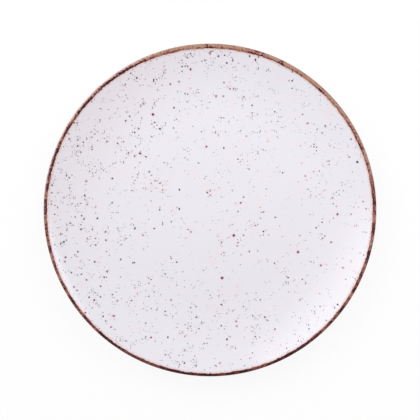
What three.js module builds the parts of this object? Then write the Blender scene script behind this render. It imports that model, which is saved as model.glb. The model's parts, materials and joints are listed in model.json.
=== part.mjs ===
// A round coupe plate in glazed porcelain, built up as the real one is: a biscuit body with its foot
// ring, a coat of glaze on every surface but the foot's standing edge, and a brown band over the lip.
// Millimetres, +Z up. The origin is the plate's centre on the table that the foot ring stands on.

import * as THREE from "three";

// Overall sizes
const PLATE_DIAMETER = 270;
const PLATE_HEIGHT = 25;

// Wall, measured through the body and the coats on both its faces
const WELL_DIAMETER = 150; // flat middle of the upper face, where the foot of a stacked plate stands
const FLOOR_THICKNESS = 5.5;
const LIP_THICKNESS = 3.8; // the lip is a full round of this thickness

// Foot ring
const FOOT_DIAMETER = 148; // across the outside of the ring, at the table
const FOOT_WIDTH = 5; // across the ring's section, at the table
const FOOT_HEIGHT = 3.5; // from the table to the recess inside the ring
const FOOT_LEAN = 0.9; // how far each side of the ring spreads on its way up to the recess
const FOOT_EDGE_ROUND = 0.6;
const FOOT_ROOT_FILLET = 1.1;

// Coats
const GLAZE_THICKNESS = 0.35;
const BARE_FOOT_HEIGHT = 1.2; // the glaze is wiped off the foot ring below this
const BAND_REACH_INSIDE = 0.6; // how far the brown band runs past the lip's round, down the upper face
const BAND_REACH_OUTSIDE = 2.4; // and down the underside

// Facets
const TURN_SEGMENTS = 64;
const WALL_STEPS = 6;
const LIP_STEPS = 6;
const CORNER_STEPS = 3;

const glossyWhite = new THREE.MeshStandardMaterial({ color: "#ebe8ee", roughness: 0.12, metalness: 0 });
const bandBrown = new THREE.MeshStandardMaterial({ color: "#7a4a40", roughness: 0.2, metalness: 0 });
const bareBiscuit = new THREE.MeshStandardMaterial({ color: "#e6e0d6", roughness: 0.8, metalness: 0 });

// The foot ring's two sides, as the point on each at a height above the table. A point is a radius and a
// height throughout.
function footOutside(height) {
  return new THREE.Vector2(FOOT_DIAMETER / 2 + (FOOT_LEAN * height) / FOOT_HEIGHT, height);
}

function footInside(height) {
  return new THREE.Vector2(FOOT_DIAMETER / 2 - FOOT_WIDTH - (FOOT_LEAN * height) / FOOT_HEIGHT, height);
}

const lipRound = LIP_THICKNESS / 2;
const lipCentre = new THREE.Vector2(PLATE_DIAMETER / 2 - lipRound, PLATE_HEIGHT - lipRound);

// The upper face is level across the well, then rises on one arc that touches the lip's round.
const wellEdge = new THREE.Vector2(WELL_DIAMETER / 2, FOOT_HEIGHT + FLOOR_THICKNESS);
const faceReach = lipCentre.clone().sub(wellEdge);
const faceArc = (faceReach.lengthSq() - lipRound ** 2) / (2 * (faceReach.y + lipRound));
const faceSlope = Math.atan2(faceReach.x, faceArc - faceReach.y);

// The underside leaves the root of the foot ring level, and rises on one arc that wraps the lip's round.
const footRoot = footOutside(FOOT_HEIGHT);
const underReach = lipCentre.clone().sub(footRoot);
const underArc = (underReach.lengthSq() - lipRound ** 2) / (2 * (underReach.y - lipRound));
const underSlope = Math.atan2(underReach.x, underArc - underReach.y);

// Points on an arc that leaves a start point level and rises outwards, from one slope to another.
function risingArc(start, radius, fromSlope, toSlope, steps) {
  const quarterTurn = Math.PI / 2;
  return new THREE.EllipseCurve(
    start.x,
    start.y + radius,
    radius,
    radius,
    fromSlope - quarterTurn,
    toSlope - quarterTurn,
    toSlope < fromSlope,
  ).getPoints(steps);
}

// A rounded corner between two points, bending towards the sharp corner that they flank.
function roundedCorner(start, corner, end) {
  return new THREE.QuadraticBezierCurve(start, corner, end).getPoints(CORNER_STEPS);
}

// The plate's outline, from the centre of the upper face out over the lip and in under the foot to the
// axis. Each stretch starts at the last point of the one before it.
const bandTopSlope = faceSlope - BAND_REACH_INSIDE / faceArc;
const bandFootSlope = underSlope - BAND_REACH_OUTSIDE / underArc;
const rootFillet = Math.min(FOOT_ROOT_FILLET, (FOOT_HEIGHT - BARE_FOOT_HEIGHT) / 2);
const edgeRound = Math.min(FOOT_EDGE_ROUND, BARE_FOOT_HEIGHT / 2, FOOT_WIDTH / 4);

const faceStretch = [
  new THREE.Vector2(0, wellEdge.y),
  ...risingArc(wellEdge, faceArc, 0, bandTopSlope, WALL_STEPS),
];

const lipStretch = new THREE.EllipseCurve(
  lipCentre.x,
  lipCentre.y,
  lipRound,
  lipRound,
  faceSlope + Math.PI / 2,
  underSlope - Math.PI / 2,
  true,
).getPoints(LIP_STEPS);
const undersideRise = risingArc(footRoot, underArc, bandFootSlope, rootFillet / underArc, WALL_STEPS);
const bandStretch = [faceStretch.at(-1), ...lipStretch, undersideRise[0]];

const undersideStretch = [
  ...undersideRise.slice(0, -1),
  ...roundedCorner(undersideRise.at(-1), footRoot, footOutside(FOOT_HEIGHT - rootFillet)),
  footOutside(BARE_FOOT_HEIGHT),
];

const standingStretch = [
  footOutside(BARE_FOOT_HEIGHT),
  ...roundedCorner(
    footOutside(edgeRound),
    footOutside(0),
    new THREE.Vector2(footOutside(0).x - edgeRound, 0),
  ),
  ...roundedCorner(
    new THREE.Vector2(footInside(0).x + edgeRound, 0),
    footInside(0),
    footInside(edgeRound),
  ),
  footInside(BARE_FOOT_HEIGHT),
];

const recessStretch = [
  footInside(BARE_FOOT_HEIGHT),
  ...roundedCorner(
    footInside(FOOT_HEIGHT - rootFillet),
    footInside(FOOT_HEIGHT),
    new THREE.Vector2(footInside(FOOT_HEIGHT).x - rootFillet, FOOT_HEIGHT),
  ),
  new THREE.Vector2(0, FOOT_HEIGHT),
];

// The same outline moved in by the glaze, which is where the biscuit starts under a coat.
function underGlaze(outline) {
  const headings = outline.slice(1).map((point, i) => point.clone().sub(outline[i]).normalize());
  return outline.map((point, i) => {
    const arriving = headings[Math.max(i - 1, 0)];
    const leaving = headings[Math.min(i, headings.length - 1)];
    const heading = arriving.clone().add(leaving).normalize();
    const depth = GLAZE_THICKNESS / heading.dot(leaving);
    return new THREE.Vector2(point.x + heading.y * depth, point.y - heading.x * depth);
  });
}

const coated = [...faceStretch, ...bandStretch.slice(1), ...undersideStretch.slice(1)];
const coatedCore = underGlaze(coated);
const recessCore = underGlaze(recessStretch);
const bandStart = faceStretch.length - 1;
const bandEnd = bandStart + bandStretch.length - 1;

// A solid of revolution about the plate's axis. Its section runs round clockwise, as seen with the axis
// on the left, and starts and ends on the axis or closes on itself.
function turned(name, section, material) {
  const geometry = new THREE.LatheGeometry([...section].reverse(), TURN_SEGMENTS);
  geometry.rotateX(Math.PI / 2);
  const mesh = new THREE.Mesh(geometry, material);
  mesh.name = name;
  return mesh;
}

// A coat that stays off the axis: out along its outer face, back along the biscuit and closed.
function ringSection(from, to) {
  const outer = coated.slice(from, to + 1);
  const core = coatedCore.slice(from, to + 1);
  return [...outer, ...core.reverse(), outer[0]];
}

const bodySection = [...coatedCore, ...standingStretch, ...recessCore];
const biscuitBody = turned("biscuit_body", bodySection, bareBiscuit);

const faceSection = [...faceStretch, ...coatedCore.slice(0, bandStart + 1).reverse()];
const faceGlaze = turned("face_glaze", faceSection, glossyWhite);

const rimBand = turned("rim_band", ringSection(bandStart, bandEnd), bandBrown);

const undersideGlaze = turned("underside_glaze", ringSection(bandEnd, coated.length - 1), glossyWhite);

const recessSection = [...recessCore.slice().reverse(), ...recessStretch];
const footRecessGlaze = turned("foot_recess_glaze", recessSection, glossyWhite);

const plate = new THREE.Group();
plate.add(biscuitBody, faceGlaze, rimBand, undersideGlaze, footRecessGlaze);

export default plate;
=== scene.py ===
"""A speckled porcelain coupe plate with a brown band over its lip, dressed around its CAD solids.

Metres, in the frame of the CAD model: +Z up, +Y towards the top of the photograph, the table at zero.
"""

import json
import math

import bmesh
import bpy
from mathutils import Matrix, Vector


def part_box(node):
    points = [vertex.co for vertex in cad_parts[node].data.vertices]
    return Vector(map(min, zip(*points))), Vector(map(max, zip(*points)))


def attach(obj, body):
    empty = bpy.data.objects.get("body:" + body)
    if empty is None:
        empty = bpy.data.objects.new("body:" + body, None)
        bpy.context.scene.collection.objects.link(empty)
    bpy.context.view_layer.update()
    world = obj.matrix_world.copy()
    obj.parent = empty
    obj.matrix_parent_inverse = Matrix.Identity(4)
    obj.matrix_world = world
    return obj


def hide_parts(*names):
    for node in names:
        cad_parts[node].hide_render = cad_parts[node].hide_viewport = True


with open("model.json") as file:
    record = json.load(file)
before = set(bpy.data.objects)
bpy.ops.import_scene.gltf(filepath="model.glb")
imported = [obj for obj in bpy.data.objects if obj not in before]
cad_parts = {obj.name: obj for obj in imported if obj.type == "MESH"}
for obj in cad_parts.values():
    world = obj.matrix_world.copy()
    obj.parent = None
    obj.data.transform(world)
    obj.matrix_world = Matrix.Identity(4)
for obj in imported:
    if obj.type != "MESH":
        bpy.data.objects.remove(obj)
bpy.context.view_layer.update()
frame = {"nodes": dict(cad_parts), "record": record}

MM = 0.001
SAME_PLACE = 0.001 * MM  # points nearer than this are one

# Sizes that the CAD solids show


def radii_at(node, level):
    """Radii of the points of a CAD solid that lie at one level."""
    points = [vertex.co for vertex in frame["nodes"][node].data.vertices]
    return [math.hypot(point.x, point.y) for point in points if abs(point.z - level) < SAME_PLACE]


mounts = {mount["name"]: mount["pos_m"] for mount in frame["record"]["mounts"]}
plate_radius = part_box("rim_band")[1].x
plate_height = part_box("rim_band")[1].z
well_level = mounts["well_floor"][2]
well_radius = max(radii_at("face_glaze", well_level))
glaze_depth = well_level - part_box("face_glaze")[0].z
recess_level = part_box("foot_recess_glaze")[1].z - glaze_depth
bare_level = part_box("foot_recess_glaze")[0].z

# Sizes that the CAD solids were drawn with
LIP_THICKNESS = 3.8 * MM
BAND_REACH_INSIDE = 0.6 * MM
BAND_REACH_OUTSIDE = 2.4 * MM
FOOT_LEAN = 0.9 * MM
FOOT_EDGE_ROUND = 0.6 * MM
FOOT_ROOT_FILLET = 1.1 * MM

# The section of the plate: a level well, an arc up to the lip, the lip's round and an arc to the foot
lip_round = LIP_THICKNESS / 2
lip_radius = plate_radius - lip_round
lip_level = plate_height - lip_round

face_run = lip_radius - well_radius
face_rise = lip_level - well_level
face_arc = (face_run**2 + face_rise**2 - lip_round**2) / (2 * (face_rise + lip_round))
face_slope = math.atan2(face_run, face_arc - face_rise)

foot_inner = min(radii_at("biscuit_body", 0)) - FOOT_EDGE_ROUND
foot_outer = max(radii_at("biscuit_body", 0)) + FOOT_EDGE_ROUND


def foot_spread(level):
    """How far each side of the foot ring has spread at a level."""
    return FOOT_LEAN * level / recess_level


root_radius = foot_outer + foot_spread(recess_level)
under_run = lip_radius - root_radius
under_rise = lip_level - recess_level
under_arc = (under_run**2 + under_rise**2 - lip_round**2) / (2 * (under_rise - lip_round))
under_slope = math.atan2(under_run, under_arc - under_rise)

lip_turn = math.pi + face_slope - under_slope
band_top_slope = face_slope - BAND_REACH_INSIDE / face_arc
band_foot_slope = under_slope - BAND_REACH_OUTSIDE / under_arc
band_top_radius = well_radius + face_arc * math.sin(band_top_slope)
band_top_level = well_level + face_arc * (1 - math.cos(band_top_slope))
band_foot_radius = root_radius + under_arc * math.sin(band_foot_slope)
band_foot_level = recess_level + under_arc * (1 - math.cos(band_foot_slope))

# Facets
TURN_STEPS = 256
WALL_STEPS = 24
FLAT_STEPS = 8
LIP_STEPS = 20
CORNER_STEPS = 5
BAND_TOP_STEPS = 1
BAND_FOOT_STEPS = 2
SHARP_ANGLE = math.radians(40)

# How far the glaze draws back into a rounded roll where it was wiped off the foot
GLAZE_ROLL = 0.25 * MM

# Drawing a section: a pen moves over radius and level, and leaves edges behind


def line_to(section, pen, radius, level, steps=1):
    """Carries a section on in a straight line."""
    start = pen.co.copy()
    for step in range(1, steps + 1):
        share = step / steps
        pen = bmesh.ops.extrude_vert_indiv(section, verts=[pen])["verts"][0]
        pen.co.x = start.x + (radius - start.x) * share
        pen.co.z = start.z + (level - start.z) * share
    return pen


def arc_to(section, pen, centre_radius, centre_level, turn, steps):
    """Carries a section on round a centre. A positive turn goes from the radius towards the height."""
    swept = bmesh.ops.spin(
        section,
        geom=[pen],
        cent=(centre_radius, 0, centre_level),
        axis=(0, -1, 0),
        angle=turn,
        steps=steps,
    )
    return [item for item in swept["geom_last"] if isinstance(item, bmesh.types.BMVert)][0]


def round_corners(section, corners, size):
    """Rounds corner points of a drawn section."""
    bmesh.ops.bevel(
        section,
        geom=corners,
        offset=size,
        segments=CORNER_STEPS,
        affect="VERTICES",
        profile=0.5,
        material=-1,
    )


def revolve(section):
    """Spins a drawn section about the axis of the plate and closes its seam and poles."""
    bmesh.ops.spin(
        section,
        geom=section.verts[:] + section.edges[:],
        cent=(0, 0, 0),
        axis=(0, 0, 1),
        angle=math.tau,
        steps=TURN_STEPS,
        use_merge=True,
    )
    bmesh.ops.remove_doubles(section, verts=section.verts, dist=SAME_PLACE)
    bmesh.ops.recalc_face_normals(section, faces=section.faces)


def thicken(skin, faces_up):
    """Gives a skin of glaze its depth, inwards. Its highest face tells which way round it was turned."""
    highest = max(skin.faces, key=lambda face: face.calc_center_median().z)
    if (highest.normal.z > 0) != faces_up:
        bmesh.ops.reverse_faces(skin, faces=skin.faces)
    bmesh.ops.solidify(skin, geom=skin.faces[:], thickness=glaze_depth)


def roll_edge(coat, radius, level):
    """Rounds the edge that a coat of glaze ends in."""

    def on_ring(point):
        return math.hypot(math.hypot(point.x, point.y) - radius, point.z - level) < SAME_PLACE

    ring = [edge for edge in coat.edges if all(on_ring(vert.co) for vert in edge.verts)]
    bmesh.ops.bevel(
        coat,
        geom=ring,
        offset=GLAZE_ROLL,
        segments=CORNER_STEPS,
        affect="EDGES",
        profile=0.5,
        material=-1,
    )


# Maps that the finish is baked through. The side that shows is large, and the side on the body small.
BAKE_MAP = "OFBake"
SHOWN_PATCH = (0.5, 0.49)  # middle and half width of a patch, as shares of the map
HIDDEN_PATCH = (0.08, 0.07)
STRIP_ROWS = 8
SHOWN_LANE = (0.03, 0.6)  # start and width of a lane, as shares of a row
HIDDEN_LANE = (0.67, 0.3)


def map_from_above(coat, faces_up):
    """Lays a coat out as it looks from above or below. The side on the body goes in a corner."""
    layer = coat.loops.layers.uv.new(BAKE_MAP)
    reach = max(vert.co.x for vert in coat.verts)
    for face in coat.faces:
        shows = (face.normal.z > 0) == faces_up
        middle, half_width = SHOWN_PATCH if shows else HIDDEN_PATCH
        for loop in face.loops:
            loop[layer].uv.x = middle + half_width * loop.vert.co.x / reach
            loop[layer].uv.y = middle + half_width * loop.vert.co.y / reach


def from_lip(point):
    """Where a point lies from the middle of the lip's round: outwards, and up."""
    return math.hypot(point.x, point.y) - lip_radius, point.z - lip_level


def turn_round_lip(point):
    """How far round the lip a point lies, from straight outwards."""
    out, up = from_lip(point)
    return math.atan2(up, out)


def map_as_strip(coat):
    """Lays the band out as a strip folded in rows. The side on the body takes a third of each row."""
    layer = coat.loops.layers.uv.new(BAKE_MAP)
    turns = [turn_round_lip(vert.co) for vert in coat.verts]
    lowest = min(turns)
    sweep = max(turns) - lowest
    row_turn = math.tau / STRIP_ROWS
    for face in coat.faces:
        centre = face.calc_center_median()
        out, up = from_lip(centre)
        facing_out = face.normal.xy.dot(centre.xy.normalized())
        shows = facing_out * out + face.normal.z * up > 0
        lane, lane_width = SHOWN_LANE if shows else HIDDEN_LANE
        azimuth = math.atan2(centre.y, centre.x) % math.tau
        row = math.floor(azimuth / row_turn)
        for loop in face.loops:
            point = loop.vert.co
            ahead = math.remainder(math.atan2(point.y, point.x) - row * row_turn, math.tau)
            across = (turn_round_lip(point) - lowest) / sweep
            loop[layer].uv.x = ahead / row_turn
            loop[layer].uv.y = (row + lane + lane_width * across) / STRIP_ROWS


# The five pieces


def face_coat():
    """Glaze over the well and the wall, up to the band."""
    coat = bmesh.new()
    pen = coat.verts.new((0, 0, well_level))
    pen = line_to(coat, pen, well_radius, well_level, FLAT_STEPS)
    arc_to(coat, pen, well_radius, well_level + face_arc, band_top_slope, WALL_STEPS)
    revolve(coat)
    thicken(coat, faces_up=True)
    map_from_above(coat, faces_up=True)
    return coat


def band_coat():
    """Band glaze from the top of the wall over the lip and down the outside."""
    coat = bmesh.new()
    pen = coat.verts.new((band_top_radius, 0, band_top_level))
    top_turn = face_slope - band_top_slope
    pen = arc_to(coat, pen, well_radius, well_level + face_arc, top_turn, BAND_TOP_STEPS)
    pen = arc_to(coat, pen, lip_radius, lip_level, -lip_turn, LIP_STEPS)
    foot_turn = band_foot_slope - under_slope
    arc_to(coat, pen, root_radius, recess_level + under_arc, foot_turn, BAND_FOOT_STEPS)
    revolve(coat)
    thicken(coat, faces_up=True)
    map_as_strip(coat)
    return coat


def underside_coat():
    """Glaze on the underside, from the band down to the bare edge of the foot ring."""
    coat = bmesh.new()
    edge_radius = foot_outer + foot_spread(bare_level)
    pen = coat.verts.new((band_foot_radius, 0, band_foot_level))
    root = arc_to(coat, pen, root_radius, recess_level + under_arc, -band_foot_slope, WALL_STEPS)
    line_to(coat, root, edge_radius, bare_level)
    round_corners(coat, [root], FOOT_ROOT_FILLET)
    revolve(coat)
    thicken(coat, faces_up=False)
    roll_edge(coat, edge_radius, bare_level)
    map_from_above(coat, faces_up=False)
    return coat


def recess_coat():
    """Glaze in the recess inside the foot ring."""
    coat = bmesh.new()
    edge_radius = foot_inner - foot_spread(bare_level)
    pen = coat.verts.new((0, 0, recess_level))
    root = line_to(coat, pen, foot_inner - foot_spread(recess_level), recess_level, FLAT_STEPS)
    line_to(coat, root, edge_radius, bare_level)
    round_corners(coat, [root], FOOT_ROOT_FILLET)
    revolve(coat)
    thicken(coat, faces_up=False)
    roll_edge(coat, edge_radius, bare_level)
    map_from_above(coat, faces_up=False)
    return coat


def porcelain_body():
    """The fired body under the glaze, bare at the standing edge of the foot ring."""
    body = bmesh.new()
    floor_level = well_level - glaze_depth
    roof_level = recess_level + glaze_depth
    outer_edge = foot_outer + foot_spread(bare_level)
    inner_edge = foot_inner - foot_spread(bare_level)
    pen = body.verts.new((0, 0, floor_level))
    pen = line_to(body, pen, well_radius, floor_level, FLAT_STEPS)
    pen = arc_to(body, pen, well_radius, well_level + face_arc, face_slope, WALL_STEPS)
    pen = arc_to(body, pen, lip_radius, lip_level, -lip_turn, LIP_STEPS)
    pen = arc_to(body, pen, root_radius, recess_level + under_arc, -under_slope, WALL_STEPS)
    outer_root = line_to(body, pen, root_radius - glaze_depth, roof_level)
    pen = line_to(body, outer_root, outer_edge - glaze_depth, bare_level)
    pen = line_to(body, pen, outer_edge, bare_level)
    outer_corner = line_to(body, pen, foot_outer, 0)
    inner_corner = line_to(body, outer_corner, foot_inner, 0)
    pen = line_to(body, inner_corner, inner_edge, bare_level)
    pen = line_to(body, pen, inner_edge + glaze_depth, bare_level)
    inner_root = line_to(body, pen, foot_inner - foot_spread(recess_level) + glaze_depth, roof_level)
    line_to(body, inner_root, 0, roof_level, FLAT_STEPS)
    round_corners(body, [outer_corner, inner_corner], FOOT_EDGE_ROUND)
    revolve(body)
    return body


# Materials


def linear(hex_colour):
    """An sRGB hex colour as the linear one that the nodes take."""
    shares = [int(hex_colour[start : start + 2], 16) / 255 for start in (1, 3, 5)]
    light = [share / 12.92 if share <= 0.04045 else ((share + 0.055) / 1.055) ** 2.4 for share in shares]
    return (*light, 1)


# Sockets of a node that share a name are told apart by number. A mix of colours takes its share at 0 and
# the two colours at 6 and 7, and gives the mixed colour at 2.


def add(tree, kind, inputs, **settings):
    """Adds a node with its settings, feeds it values or other nodes, and gives its outputs."""
    node = tree.nodes.new("ShaderNode" + kind)
    for name, value in settings.items():
        setattr(node, name, value)
    for key, value in inputs.items():
        if isinstance(value, bpy.types.NodeSocket):
            tree.links.new(value, node.inputs[key])
        else:
            node.inputs[key].default_value = value
    return node.outputs


def empty_material(name):
    """A material with nothing in it, and its nodes."""
    material = bpy.data.materials.new(name)
    material.use_nodes = True
    tree = material.node_tree
    tree.nodes.clear()
    return material, tree


def start_material(name):
    """An empty material, its nodes and the place on the plate that its patterns are laid out by."""
    material, tree = empty_material(name)
    place = add(tree, "TexCoord", {})["Object"]
    return material, tree, place


def show(tree, colour, roughness, height, depth, ior, shine):
    """Ends a material: its colour, roughness and height, and what is the same all over it."""
    normal = add(tree, "Bump", {"Height": height, "Distance": depth})["Normal"]
    surface = add(
        tree,
        "BsdfPrincipled",
        {
            "Base Color": colour,
            "Roughness": roughness,
            "IOR": ior,
            "Specular IOR Level": shine,
            "Normal": normal,
        },
    )["BSDF"]
    add(tree, "OutputMaterial", {"Surface": surface})


FULL_SHINE = 0.5  # a surface that mirrors as much as its IOR gives

# What all the glazes share
GLAZE_IOR = 1.52
GLAZE_ROUGHNESS = 0.12
GRAIN_ROUGHNESS = 2 * GLAZE_ROUGHNESS  # over grains and iron
GLAZE_RELIEF = 0.02 * MM
RIPPLE_SIZE = 9 * MM  # from crest to crest of the faint waves in a melted glaze

# The white glaze, clouded where it lies thicker or thinner, and greyer where it pools at the foot ring
WHITE_GLAZE = linear("#ebe8f0")
THIN_WHITE_GLAZE = linear("#ebe7ee")
CLOUD_SIZE = 45 * MM
CLOUD_START = 0.35
CLOUD_FULL = 0.65
POOLED_WHITE_GLAZE = linear("#dcdde3")
POOL_REACH = 9 * MM  # to either side of the corner at the foot ring
POOL_SHARE = 0.5

# How thickly the specks lie, as a share of the usual: from side to side, and from the well up the wall
CROWDED_SIDE = (-0.98, 0.2, 0)
FAR_SIDE_CROWD = 0.65
NEAR_SIDE_CROWD = 1.45
WELL_CROWD = 0.54
WALL_CROWD = 1.15
CROWD_RISE_START = 0.4  # these two as shares of the radius of the plate
CROWD_RISE_END = 0.8
STRAY_CROWD = 0.9  # under the plate, at its lip

# Drifts and small clumps of specks: size, the range of the pattern that counts, and the shares it gives
CROWD_PATTERNS = (
    (14 * MM, 0.41, 0.59, 0.15, 1.85),
    (5 * MM, 0.46, 0.66, 0.15, 4.2),
)

# Patches in which the iron turned red: size, the range of the pattern that counts, and how many turn
RUST_PATCH_SIZE = 12 * MM
RUST_PATCH_START = 0.58
RUST_PATCH_FULL = 0.68
RUST_SHARE = 0.8

# The pink that iron gives the white: towards one side of the wall, among specks and in red patches
BLUSHED_GLAZE = linear("#eee6eb")
BLUSHED_SIDE = (-0.7, 0.7, 0)
SIDE_BLUSH = 0.7
SIDE_BLUSH_START = 0.45  # as a share of the radius of the plate
CROWD_BLUSH = 0.4
CROWD_BLUSH_START = 1
CROWD_BLUSH_FULL = 8
RUST_BLUSH = 0.8

# The specks. Their outlines are uneven, because places are shifted before they are drawn.
SPECK_UMBER = linear("#2c1a38")
SPECK_MAROON = linear("#5a1830")
SPECK_BLOOM = linear("#d9a4b8")
RAGGED_SIZE = 2.2 * MM
RAGGED_SHIFT = 1.4 * MM

# Scattered specks, in millimetres: at most one to a cell of some spacing, in a share of the cells. The
# first kind lies deep in the glaze, so it is soft and hides little of the white. Some of each are red.
SPECK_KINDS = (
    dict(spacing=1.7, smallest=0.24, largest=0.55, softness=0.25, share=0.054, strength=0.42, red=0.03),
    dict(spacing=1.4, smallest=0.2, largest=0.5, softness=0.12, share=0.047, strength=0.9, red=0.04),
    dict(spacing=2.3, smallest=0.38, largest=0.8, softness=0.12, share=0.034, strength=1.0, red=0.18),
)
SMALL_LEANING = 1.5  # above 1, more of them are small than large
SCATTERED_BLOOM = 0.3
SCATTERED_BLOOM_REACH = 1.6  # as a share of the largest radius

# Placed specks, the ones that stand out. Iron bleeds from them into the white and shows as a pink bloom.
SPECK_EDGE = 0.12 * MM
BLOOM_REACH = 1.2 * MM
RED_BLOOM = 0.55
DARK_BLOOM = 0.2

# Their places on the plate and radii in millimetres: red ones, then dark grains
RED_SPECKS = (
    (19.5, -21, 1.05),
    (-47, 78.5, 1),
    (10, -56, 1),
    (104.5, -3.5, 0.85),
    (72.5, -34.5, 0.9),
    (-57.5, 46.5, 0.8),
    (-62, 44.5, 0.65),
    (-67, 47, 0.7),
    (91, -45.5, 0.65),
    (-78.5, -86.5, 0.7),
    (-3, 52, 0.75),
    (-25.5, 105, 0.75),
    (-32.5, 103, 0.6),
    (-16, 115, 0.65),
    (80, 71, 0.6),
    (94, 68.5, 0.65),
    (0, 127.5, 0.8),
    (5, 93.5, 0.65),
    (11, 93.5, 0.6),
    (19.5, 99.5, 0.6),
    (-101.5, 23.5, 0.65),
    (8, -124.5, 0.5),
    (21.5, -91.5, 0.55),
    (22, -95.5, 0.5),
    (100.5, 10, 0.6),
    (-84.5, -50.5, 0.6),
    (-118, -42, 0.55),
    (-50, 31.5, 0.55),
    (22.5, -29.5, 0.5),
)
DARK_SPECKS = (
    (-119, -26, 0.95),
    (-92.5, -7, 0.8),
    (99.5, -26.5, 0.7),
    (-105, -52.5, 0.7),
    (-110.5, -62.5, 0.7),
    (-21, -124.5, 0.75),
    (-85.5, -25, 0.7),
    (-45.5, 72, 0.65),
    (-94.5, -73.5, 0.75),
    (114.5, 57.5, 0.7),
    (-73, -28.5, 0.65),
    (54, -6, 0.65),
    (-80.5, 26, 0.78),
    (-101, -57, 0.7),
    (-58.5, 67, 0.72),
    (-80.5, 6, 0.7),
    (45, -88, 0.72),
    (-84.5, 56.5, 0.66),
    (74, -73.5, 0.66),
    (-94.5, -42.5, 0.68),
    (-63.5, -43.5, 0.66),
    (92, 63, 0.65),
    (-117.5, -38.5, 0.78),
    (-121.5, -19.5, 0.66),
    (-86, -18, 0.65),
    (-106, -16, 0.65),
)

# The brown band. Its inner edge is a little off centre and out of round, because it is laid on by hand.
BAND_OFF_CENTRE = (-0.12 * MM, -0.67 * MM, 0)
BAND_OUT_OF_ROUND = (0.9983, 1.0005, 0)
BAND_SPREAD = -0.06 * MM  # below zero, so it has drawn back a little
BAND_EDGE = 0.15 * MM
STAIN_REACH = 2 * MM  # how far ahead of its edge the iron stains the white
STAIN_SHARE = 0.42
BAND_MAROON = linear("#3c0613")
BAND_BROWN = linear("#904e48")
BAND_TAN = linear("#ae8775")
# the colour of the painted highlight on the band's outer half
BAND_PAINTED_HIGHLIGHT = linear("#e8cfc9")
BAND_STAIN = linear("#d89a7c")
BAND_SHINE = 0.25  # the iron has dulled it, so it mirrors half as much as the clear glaze

# It grows thinner, and so lighter, from the bottom to the top, where the lamps hang: partly real and
# partly painted light and shade. Both ends are measured along that side.
BAND_THIN_AND_LIT_SIDE = (0, 1, 0)
BAND_THICK_AND_SHADED_END = -1.05
BAND_THIN_AND_LIT_END = 0.75

# It is darker near its edge, partly where it pooled and partly painted shade on the inner side of the
# lip. Distances are measured from that edge.
BAND_POOL_AND_SHADE_START = 0.6 * MM
BAND_POOL_AND_SHADE_END = 1.8 * MM
BAND_POOLING_AND_SHADE = 0.65

# On one side, towards the key lamp, its outer half is lightened with a painted highlight, and the rest
# is darkened with painted shade
BAND_HIGHLIGHT_SIDE = (-0.8, 0.6, 0)
BAND_HIGHLIGHT_START = 0.78
BAND_HIGHLIGHT_FULL = 0.97
BAND_HIGHLIGHT_INNER = 1.8 * MM
BAND_HIGHLIGHT_OUTER = 3.1 * MM
BAND_PAINTED_SHADE = 0.55

# What waves its edge in and out, then what mottles it: size, detail, range about the middle and reach
BAND_EDGE_WAVES = ((1.8 * MM, 2, 0.25, 0.45 * MM), (7 * MM, 1, 0.25, 0.22 * MM))
BAND_MOTTLE = ((1.8 * MM, 2, 0.2, 0.65), (11 * MM, 1, 0.15, 0.4))
BAND_CALM = 0.45  # share of the mottle that is left where the band is thickest
BAND_CALM_END = 0.3  # how thin it is where the mottle is full

# Bare porcelain. Its grit is drawn several times coarser than the real one, so that it shows.
BISCUIT_IOR = 1.5
BISCUIT_WHITE = linear("#e9e3d9")
BISCUIT_STAIN = linear("#d8cfc3")
BISCUIT_SMOOTHEST = 0.7
BISCUIT_ROUGHEST = 0.9
BISCUIT_STAIN_SIZE = 12 * MM
GRIT_SIZE = 0.4 * MM
GRIT_RELIEF = 0.03 * MM


def flat_place(tree, place):
    """A place seen from straight above."""
    return add(tree, "VectorMath", {0: place, 1: (1, 1, 0)}, operation="MULTIPLY")["Vector"]


def from_axis(tree, place):
    """How far a place lies from the axis of the plate."""
    return add(tree, "VectorMath", {0: flat_place(tree, place)}, operation="LENGTH")["Value"]


def facing_side(tree, place, side):
    """How squarely a place lies to one side of the plate: 1 on that side and -1 across from it."""
    heading = add(tree, "VectorMath", {0: flat_place(tree, place)}, operation="NORMALIZE")["Vector"]
    return add(tree, "VectorMath", {0: heading, 1: side}, operation="DOT_PRODUCT")["Value"]


def waver(tree, place, waves):
    """A number that wavers about zero from place to place, the sum of some waves."""
    total = 0.0
    for size, detail, spread, reach in waves:
        wave = add(tree, "TexNoise", {"Vector": place, "Scale": 1 / size, "Detail": detail})["Fac"]
        swing = add(
            tree,
            "MapRange",
            {
                "Value": wave,
                "From Min": 0.5 - spread,
                "From Max": 0.5 + spread,
                "To Min": -reach,
                "To Max": reach,
            },
        )["Result"]
        total = add(tree, "Math", {0: total, 1: swing}, operation="ADD")[0]
    return total


def white_glaze(tree, place):
    """Colour of the white glaze: faint clouds where it lies thicker or thinner."""
    clouds = add(tree, "TexNoise", {"Vector": place, "Scale": 1 / CLOUD_SIZE, "Detail": 2})["Fac"]
    thin = add(
        tree,
        "MapRange",
        {"Value": clouds, "From Min": CLOUD_START, "From Max": CLOUD_FULL},
    )["Result"]
    return add(tree, "Mix", {0: thin, 6: WHITE_GLAZE, 7: THIN_WHITE_GLAZE}, data_type="RGBA")[2]


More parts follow.
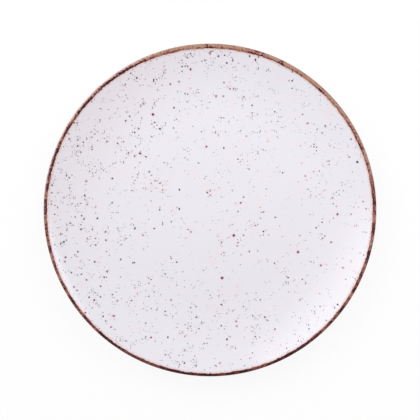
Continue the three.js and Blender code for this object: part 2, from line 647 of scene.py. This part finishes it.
def crowding(tree, place):
    """How thickly the specks lie: more to the left and up the wall, in drifts and small clumps."""
    leaning = add(tree, "VectorMath", {0: place, 1: CROWDED_SIDE}, operation="DOT_PRODUCT")["Value"]
    sided = add(
        tree,
        "MapRange",
        {
            "Value": leaning,
            "From Min": -plate_radius,
            "From Max": plate_radius,
            "To Min": FAR_SIDE_CROWD,
            "To Max": NEAR_SIDE_CROWD,
        },
    )["Result"]
    outward = add(
        tree,
        "MapRange",
        {
            "Value": from_axis(tree, place),
            "From Min": CROWD_RISE_START * plate_radius,
            "From Max": CROWD_RISE_END * plate_radius,
            "To Min": WELL_CROWD,
            "To Max": WALL_CROWD,
        },
    )["Result"]
    crowd = add(tree, "Math", {0: sided, 1: outward}, operation="MULTIPLY")[0]
    for size, low, high, least, most in CROWD_PATTERNS:
        pattern = add(tree, "TexNoise", {"Vector": place, "Scale": 1 / size, "Detail": 1})["Fac"]
        gathered = add(
            tree,
            "MapRange",
            {"Value": pattern, "From Min": low, "From Max": high, "To Min": least, "To Max": most},
        )["Result"]
        crowd = add(tree, "Math", {0: crowd, 1: gathered}, operation="MULTIPLY")[0]
    return crowd


def ragged_place(tree, place):
    """A place shifted a little at random, which makes the outlines of grains uneven."""
    jitter = add(tree, "TexNoise", {"Vector": place, "Scale": 1 / RAGGED_SIZE, "Detail": 2})["Color"]
    centred = add(tree, "VectorMath", {0: jitter, 1: (0.5, 0.5, 0.5)}, operation="SUBTRACT")["Vector"]
    shift = add(tree, "VectorMath", {0: centred, "Scale": RAGGED_SHIFT}, operation="SCALE")["Vector"]
    shifted = add(tree, "VectorMath", {0: place, 1: shift}, operation="ADD")["Vector"]
    return flat_place(tree, shifted)


def lay_scattered_specks(
    tree, place, crowd, rust, colour, spacing, smallest, largest, softness, share, strength, red
):
    """Lays specks at random over a colour. Gives the new colour and how much they cover."""
    per_metre = 1 / (spacing * MM)
    cell = add(tree, "TexVoronoi", {"Vector": place, "Scale": per_metre}, voronoi_dimensions="2D")
    lots = add(tree, "SeparateColor", {"Color": cell["Color"]})
    chance = add(tree, "Math", {0: crowd, 1: share}, operation="MULTIPLY")[0]
    held = add(tree, "Math", {0: lots["Red"], 1: chance}, operation="LESS_THAN")[0]
    mostly_small = add(tree, "Math", {0: lots["Blue"], 1: SMALL_LEANING}, operation="POWER")[0]
    radius = add(
        tree,
        "MapRange",
        {"Value": mostly_small, "To Min": smallest / spacing, "To Max": largest / spacing},
    )["Result"]
    inside = add(tree, "Math", {0: radius, 1: cell["Distance"]}, operation="SUBTRACT")[0]
    hidden = add(
        tree,
        "MapRange",
        {"Value": inside, "From Min": 0, "From Max": softness / spacing, "To Max": strength},
        interpolation_type="SMOOTHSTEP",
    )["Result"]
    cover = add(tree, "Math", {0: held, 1: hidden}, operation="MULTIPLY")[0]
    rusted = add(tree, "Math", {0: lots["Green"], 1: rust}, operation="ADD")[0]
    red_from = 1 - red
    redness = add(
        tree,
        "MapRange",
        {"Value": rusted, "From Min": red_from - red / 2, "From Max": red_from + red / 2},
    )["Result"]
    bleeding = add(
        tree,
        "MapRange",
        {
            "Value": inside,
            "From Min": -SCATTERED_BLOOM_REACH * largest / spacing,
            "From Max": 0,
            "To Max": SCATTERED_BLOOM * strength,
        },
    )["Result"]
    bled = add(tree, "Math", {0: bleeding, 1: redness}, operation="MULTIPLY")[0]
    bloom = add(tree, "Math", {0: bled, 1: held}, operation="MULTIPLY")[0]
    bloomed = add(tree, "Mix", {0: bloom, 6: colour, 7: SPECK_BLOOM}, data_type="RGBA")[2]
    ink = add(tree, "Mix", {0: redness, 6: SPECK_UMBER, 7: SPECK_MAROON}, data_type="RGBA")[2]
    return add(tree, "Mix", {0: cover, 6: bloomed, 7: ink}, data_type="RGBA")[2], cover


def distance_to_specks(tree, place, specks):
    """Distance to the edge of the nearest of some placed specks, negative inside it."""
    nearest = plate_radius
    for x, y, radius in specks:
        middle = (x * MM, y * MM, 0)
        away = add(tree, "VectorMath", {0: place, 1: middle}, operation="DISTANCE")["Value"]
        outside = add(tree, "Math", {0: away, 1: radius * MM}, operation="SUBTRACT")[0]
        nearest = add(tree, "Math", {0: nearest, 1: outside}, operation="MINIMUM")[0]
    return nearest


def lay_placed_specks(tree, ragged, specks, ink, bloom, colour):
    """Lays placed specks over a colour. Gives the new colour and how much they cover."""
    gap = distance_to_specks(tree, ragged, specks)
    bled = add(
        tree,
        "MapRange",
        {"Value": gap, "From Min": BLOOM_REACH, "From Max": 0, "To Max": bloom},
        interpolation_type="SMOOTHSTEP",
    )["Result"]
    cover = add(tree, "MapRange", {"Value": gap, "From Min": 0, "From Max": -SPECK_EDGE})["Result"]
    bloomed = add(tree, "Mix", {0: bled, 6: colour, 7: SPECK_BLOOM}, data_type="RGBA")[2]
    return add(tree, "Mix", {0: cover, 6: bloomed, 7: ink}, data_type="RGBA")[2], cover


def lay_specks(tree, ragged, crowd, rust, colour):
    """Lays every kind of scattered speck over a colour. Gives the new colour and how much they cover."""
    covered = 0.0
    for kind in SPECK_KINDS:
        colour, cover = lay_scattered_specks(tree, ragged, crowd, rust, colour, **kind)
        covered = add(tree, "Math", {0: covered, 1: cover}, operation="MAXIMUM")[0]
    return colour, covered


def rust_patches(tree, place):
    """The share of specks that turned red, in patches."""
    pattern = add(tree, "TexNoise", {"Vector": place, "Scale": 1 / RUST_PATCH_SIZE, "Detail": 1})["Fac"]
    return add(
        tree,
        "MapRange",
        {
            "Value": pattern,
            "From Min": RUST_PATCH_START,
            "From Max": RUST_PATCH_FULL,
            "To Max": RUST_SHARE,
        },
    )["Result"]


def blush(tree, place, crowd, rust):
    """How pink the white is: towards one side of the wall, among crowded specks and in red patches."""
    leaning = add(tree, "VectorMath", {0: place, 1: BLUSHED_SIDE}, operation="DOT_PRODUCT")["Value"]
    sided = add(
        tree,
        "MapRange",
        {
            "Value": leaning,
            "From Min": SIDE_BLUSH_START * plate_radius,
            "From Max": plate_radius,
            "To Max": SIDE_BLUSH,
        },
    )["Result"]
    crowded = add(
        tree,
        "MapRange",
        {
            "Value": crowd,
            "From Min": CROWD_BLUSH_START,
            "From Max": CROWD_BLUSH_FULL,
            "To Max": CROWD_BLUSH,
        },
    )["Result"]
    rusted = add(tree, "Math", {0: rust, 1: RUST_BLUSH}, operation="MULTIPLY")[0]
    speckled = add(tree, "Math", {0: crowded, 1: rusted}, operation="MAXIMUM")[0]
    return add(tree, "Math", {0: sided, 1: speckled}, operation="MAXIMUM")[0]


def face_specks(tree, place, colour):
    """Lays the iron specks of the face over a colour. Gives the new colour and how much they cover."""
    ragged = ragged_place(tree, place)
    crowd = crowding(tree, place)
    rust = rust_patches(tree, place)
    pink = blush(tree, place, crowd, rust)
    blushed = add(tree, "Mix", {0: pink, 6: colour, 7: BLUSHED_GLAZE}, data_type="RGBA")[2]
    scattered, covered = lay_specks(tree, ragged, crowd, rust, blushed)
    grained, grains = lay_placed_specks(tree, ragged, DARK_SPECKS, SPECK_UMBER, DARK_BLOOM, scattered)
    reddened, reds = lay_placed_specks(tree, ragged, RED_SPECKS, SPECK_MAROON, RED_BLOOM, grained)
    placed = add(tree, "Math", {0: grains, 1: reds}, operation="MAXIMUM")[0]
    return reddened, add(tree, "Math", {0: covered, 1: placed}, operation="MAXIMUM")[0]


def inside_band(tree, place):
    """How far a place lies inside the ragged edge of the brown band, in metres."""
    ragged = waver(tree, place, BAND_EDGE_WAVES)
    stretched = add(tree, "VectorMath", {0: place, 1: BAND_OUT_OF_ROUND}, operation="MULTIPLY")["Vector"]
    centred = add(tree, "VectorMath", {0: stretched, 1: BAND_OFF_CENTRE}, operation="SUBTRACT")["Vector"]
    upper_radius = add(tree, "VectorMath", {0: centred}, operation="LENGTH")["Value"]
    upper = add(tree, "Math", {0: upper_radius, 1: band_top_radius}, operation="SUBTRACT")[0]
    lower = add(tree, "Math", {0: from_axis(tree, place), 1: band_foot_radius}, operation="SUBTRACT")[0]
    level = add(tree, "SeparateXYZ", {0: place})["Z"]
    is_upper = add(tree, "Math", {0: level, 1: lip_level}, operation="GREATER_THAN")[0]
    inside = add(tree, "Mix", {0: is_upper, 2: lower, 3: upper})[0]
    spread = add(tree, "Math", {0: inside, 1: BAND_SPREAD}, operation="ADD")[0]
    return add(tree, "Math", {0: spread, 1: ragged}, operation="ADD")[0]


def band_colour(tree, place, inside, thin):
    """Colour of the band: dark where it pooled at its edge and tan where it ran thin over the lip, both
    partly painted shade and light, with a painted highlight on one side.
    """
    # how squarely the band faces the key lamp, where the painted highlight lies
    highlight_side = add(
        tree,
        "MapRange",
        {
            "Value": facing_side(tree, place, BAND_HIGHLIGHT_SIDE),
            "From Min": BAND_HIGHLIGHT_START,
            "From Max": BAND_HIGHLIGHT_FULL,
        },
    )["Result"]
    mottle = waver(tree, place, BAND_MOTTLE)
    # darker at the band's edge: partly pooled glaze, partly painted shade where the lip's inner side
    # faces away from the lamps
    pooling_and_shade = add(
        tree,
        "MapRange",
        {
            "Value": inside,
            "From Min": BAND_POOL_AND_SHADE_START,
            "From Max": BAND_POOL_AND_SHADE_END,
            "To Min": -BAND_POOLING_AND_SHADE,
            "To Max": 0,
        },
    )["Result"]
    # the share after that darkening at the edge, which is partly pooled glaze and partly painted shade
    pooled = add(tree, "Math", {0: pooling_and_shade, 1: thin, 2: 1}, operation="MULTIPLY_ADD")[0]
    # lighter towards the top: partly thinner glaze, partly painted light, with painted shade towards the
    # bottom
    thinned_and_lit = add(tree, "Math", {0: thin, 1: pooled}, operation="MULTIPLY")[0]
    # painted shade: on the highlight side the rest of the band is darkened
    shaded_share = add(tree, "Math", {0: highlight_side, 1: -BAND_PAINTED_SHADE, 2: thinned_and_lit}, operation="MULTIPLY_ADD")[0]
    curdling = add(
        tree,
        "MapRange",
        {"Value": thin, "From Max": BAND_CALM_END, "To Min": BAND_CALM},
    )["Result"]
    share = add(tree, "Math", {0: mottle, 1: curdling, 2: shaded_share}, operation="MULTIPLY_ADD")[0]
    lighter = add(tree, "MapRange", {"Value": share, "From Min": 0, "From Max": 0.5})["Result"]
    lightest = add(tree, "MapRange", {"Value": share, "From Min": 0.5, "From Max": 1})["Result"]
    brown = add(tree, "Mix", {0: lighter, 6: BAND_MAROON, 7: BAND_BROWN}, data_type="RGBA")[2]
    crest = add(tree, "Mix", {0: lightest, 6: brown, 7: BAND_TAN}, data_type="RGBA")[2]
    # the painted highlight covers the band's outer half on that side
    outer = add(
        tree,
        "MapRange",
        {"Value": inside, "From Min": BAND_HIGHLIGHT_INNER, "From Max": BAND_HIGHLIGHT_OUTER},
    )["Result"]
    painted_highlight = add(tree, "Math", {0: highlight_side, 1: outer}, operation="MULTIPLY")[0]
    return add(tree, "Mix", {0: painted_highlight, 6: crest, 7: BAND_PAINTED_HIGHLIGHT}, data_type="RGBA")[2]


def lay_band(tree, place, colour):
    """Lays the brown band over a colour. Gives the new colour and how much the band covers."""
    inside = inside_band(tree, place)
    # thin: thinner glaze and painted light towards the lamps, painted shade away from them
    thin = add(
        tree,
        "MapRange",
        {
            "Value": facing_side(tree, place, BAND_THIN_AND_LIT_SIDE),
            "From Min": BAND_THICK_AND_SHADED_END,
            "From Max": BAND_THIN_AND_LIT_END,
        },
    )["Result"]
    stain = add(
        tree,
        "MapRange",
        {"Value": inside, "From Min": -STAIN_REACH, "From Max": 0, "To Max": STAIN_SHARE},
        interpolation_type="SMOOTHSTEP",
    )["Result"]
    stained = add(tree, "Mix", {0: stain, 6: colour, 7: BAND_STAIN}, data_type="RGBA")[2]
    cover = add(
        tree,
        "MapRange",
        {"Value": inside, "From Min": -BAND_EDGE, "From Max": BAND_EDGE},
        interpolation_type="SMOOTHSTEP",
    )["Result"]
    brown = band_colour(tree, place, inside, thin)
    return add(tree, "Mix", {0: cover, 6: stained, 7: brown}, data_type="RGBA")[2], cover


def show_glaze(tree, place, colour, covered, shine):
    """Ends a glaze: faintly wavy, smooth where it is clear, duller and raised over grains and iron."""
    ripple = add(tree, "TexNoise", {"Vector": place, "Scale": 1 / RIPPLE_SIZE, "Detail": 1})["Fac"]
    height = add(tree, "Math", {0: covered, 1: ripple}, operation="ADD")[0]
    roughness = add(
        tree,
        "MapRange",
        {"Value": covered, "To Min": GLAZE_ROUGHNESS, "To Max": GRAIN_ROUGHNESS},
    )["Result"]
    show(tree, colour, roughness, height, GLAZE_RELIEF, GLAZE_IOR, shine)


def speckled_porcelain_glaze():
    """Feldspar glaze melted over porcelain: glossy lilac white, with iron grains that bled in it."""
    material, tree, place = start_material("speckled porcelain glaze")
    white = white_glaze(tree, place)
    speckled, specks = face_specks(tree, place, white)
    colour, band = lay_band(tree, place, speckled)
    covered = add(tree, "Math", {0: specks, 1: band}, operation="MAXIMUM")[0]
    show_glaze(tree, place, colour, covered, FULL_SHINE)
    return material


def iron_band_glaze():
    """Iron oxide brushed over the lip and melted in: softly glossy red-brown, tan where it ran thin."""
    material, tree, place = start_material("iron band glaze")
    colour, band = lay_band(tree, place, white_glaze(tree, place))
    show_glaze(tree, place, colour, band, BAND_SHINE)
    return material


def white_porcelain_glaze():
    """The same glossy white under the plate: stray grains near the lip, greyer where it pooled."""
    material, tree, place = start_material("white porcelain glaze")
    white = white_glaze(tree, place)
    radius = from_axis(tree, place)
    from_corner = add(tree, "Math", {0: radius, 1: root_radius}, operation="SUBTRACT")[0]
    corner_gap = add(tree, "Math", {0: from_corner}, operation="ABSOLUTE")[0]
    pooled = add(
        tree,
        "MapRange",
        {"Value": corner_gap, "From Min": POOL_REACH, "From Max": 0, "To Max": POOL_SHARE},
    )["Result"]
    pooled_white = add(tree, "Mix", {0: pooled, 6: white, 7: POOLED_WHITE_GLAZE}, data_type="RGBA")[2]
    stray = add(
        tree,
        "MapRange",
        {"Value": radius, "From Min": root_radius, "From Max": plate_radius, "To Max": STRAY_CROWD},
    )["Result"]
    speckled, specks = lay_specks(tree, ragged_place(tree, place), stray, 0.0, pooled_white)
    colour, band = lay_band(tree, place, speckled)
    covered = add(tree, "Math", {0: specks, 1: band}, operation="MAXIMUM")[0]
    show_glaze(tree, place, colour, covered, FULL_SHINE)
    return material


def biscuit_porcelain():
    """Porcelain fired bare and ground level: matt, warm white and finely gritty."""
    material, tree, place = start_material("biscuit porcelain")
    grit = add(tree, "TexNoise", {"Vector": place, "Scale": 1 / GRIT_SIZE, "Detail": 3})["Fac"]
    stain = add(tree, "TexNoise", {"Vector": place, "Scale": 1 / BISCUIT_STAIN_SIZE, "Detail": 3})["Fac"]
    colour = add(tree, "Mix", {0: stain, 6: BISCUIT_WHITE, 7: BISCUIT_STAIN}, data_type="RGBA")[2]
    roughness = add(
        tree,
        "MapRange",
        {"Value": grit, "To Min": BISCUIT_SMOOTHEST, "To Max": BISCUIT_ROUGHEST},
    )["Result"]
    show(tree, colour, roughness, grit, GRIT_RELIEF, BISCUIT_IOR, FULL_SHINE)
    return material


# Putting the pieces on the frame


def place_piece(name, node, mesh, material):
    """Makes a shaped mesh into a piece that stands for a CAD solid."""
    data = bpy.data.meshes.new(name)
    mesh.to_mesh(data)
    mesh.free()
    data.shade_smooth()
    data.set_sharp_from_angle(angle=SHARP_ANGLE)
    data.materials.append(material)
    piece = bpy.data.objects.new(name, data)
    bpy.context.scene.collection.objects.link(piece)
    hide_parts(node)
    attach(piece, "root")


underside_finish = white_porcelain_glaze()
place_piece("porcelain_body", "biscuit_body", porcelain_body(), biscuit_porcelain())
place_piece("face_coat", "face_glaze", face_coat(), speckled_porcelain_glaze())
place_piece("band_coat", "rim_band", band_coat(), iron_band_glaze())
place_piece("underside_coat", "underside_glaze", underside_coat(), underside_finish)
place_piece("recess_coat", "foot_recess_glaze", recess_coat(), underside_finish)

# Floor and room. The floor is white to the camera and in reflections, and still keeps a soft shadow.
FLOOR_SIZE = 6
FLOOR_GLOW = 0.86
WHITE = linear("#ffffff")
ROOM_LIGHT = 0.63

# Lamps. The key lamp fades out towards its top, so it is hung in layers. The strip is only mirrored, and
# the fill lamp only lights.
KEY_LAMP = dict(azimuth=143, low=30, half_width=26, distance=1.6, brightness=0.76)
KEY_TOPS = (52, 60, 68)
STRIP_LAMP = dict(azimuth=22, low=36, high=43.8, half_width=21, distance=1.6, brightness=3.6)
FILL_LAMP = dict(azimuth=60, low=40, high=75, half_width=34, distance=0.55, brightness=1.4)


def sees_background(tree):
    """1 for a ray from the camera, a mirror or a clear surface, and 0 for one that lights something."""
    ray = add(tree, "LightPath", {})
    seen = ray["Is Camera Ray"]
    for kind in ("Is Glossy Ray", "Is Transmission Ray"):
        seen = add(tree, "Math", {0: seen, 1: ray[kind]}, operation="MAXIMUM")[0]
    return seen


def white_floor():
    """A white sheet that glows to the camera, so that it is white but for the shadow of the plate."""
    material, tree = empty_material("white floor")
    lit = add(tree, "BsdfDiffuse", {"Color": WHITE})["BSDF"]
    glow = add(tree, "Emission", {"Color": WHITE})["Emission"]
    share = add(tree, "Math", {0: sees_background(tree), 1: FLOOR_GLOW}, operation="MULTIPLY")[0]
    surface = add(tree, "MixShader", {0: share, 1: lit, 2: glow})["Shader"]
    add(tree, "OutputMaterial", {"Surface": surface})
    return material


def lay_floor():
    """The sheet that the plate stands on."""
    sheet = bmesh.new()
    bmesh.ops.create_grid(sheet, x_segments=1, y_segments=1, size=FLOOR_SIZE / 2)
    data = bpy.data.meshes.new("floor")
    sheet.to_mesh(data)
    sheet.free()
    data.materials.append(white_floor())
    floor = bpy.data.objects.new("floor", data)
    bpy.context.scene.collection.objects.link(floor)


def light_room():
    """Even light from all round."""
    world = bpy.data.worlds.new("white room")
    bpy.context.scene.world = world
    world.use_nodes = True
    tree = world.node_tree
    tree.nodes.clear()
    light = add(tree, "Background", {"Color": WHITE, "Strength": ROOM_LIGHT})["Background"]
    add(tree, "OutputWorld", {"Surface": light})


def hang_softbox(name, azimuth, low, high, half_width, distance, brightness, lights=True, mirrored=True):
    """An oval soft lamp that fills a patch of the sky as the plate sees it. Angles are in degrees."""
    elevation = math.radians((low + high) / 2)
    turn = math.radians(azimuth)
    wide = 2 * distance * math.tan(math.radians(half_width))
    tall = 2 * distance * math.tan(math.radians((high - low) / 2))
    lamp = bpy.data.lights.new(name, "AREA")
    lamp.shape = "ELLIPSE"
    lamp.size = wide
    lamp.size_y = tall
    lamp.energy = math.pi * brightness * (math.pi * wide * tall / 4)
    softbox = bpy.data.objects.new(name, lamp)
    softbox.location = (
        distance * math.cos(elevation) * math.cos(turn),
        distance * math.cos(elevation) * math.sin(turn),
        distance * math.sin(elevation),
    )
    softbox.rotation_euler = (math.pi / 2 - elevation, 0, turn + math.pi / 2)
    softbox.visible_diffuse = lights
    softbox.visible_glossy = mirrored
    bpy.context.scene.collection.objects.link(softbox)


lay_floor()
light_room()
for top in KEY_TOPS:
    hang_softbox(f"key_softbox_{top}", high=top, **KEY_LAMP)
hang_softbox("strip_softbox", lights=False, **STRIP_LAMP)
hang_softbox("fill_softbox", mirrored=False, **FILL_LAMP)

# Camera: straight above, as far off as makes the plate as large as it is in the photograph
PHOTO_SIZE = 420  # pixels
PHOTO_PLATE_RADIUS = 166.4  # pixels
LENS = 100  # millimetres
SENSOR = 36  # millimetres


def set_camera():
    """Looks straight down on the middle of the plate."""
    view_half_width = plate_radius * (PHOTO_SIZE / 2) / PHOTO_PLATE_RADIUS
    camera = bpy.data.cameras.new("camera")
    camera.lens = LENS
    camera.sensor_width = SENSOR
    holder = bpy.data.objects.new("camera", camera)
    holder.location.z = lip_level + view_half_width * LENS / (SENSOR / 2)
    bpy.context.scene.collection.objects.link(holder)
    bpy.context.scene.camera = holder


set_camera()
bpy.context.scene.view_settings.view_transform = "Standard"
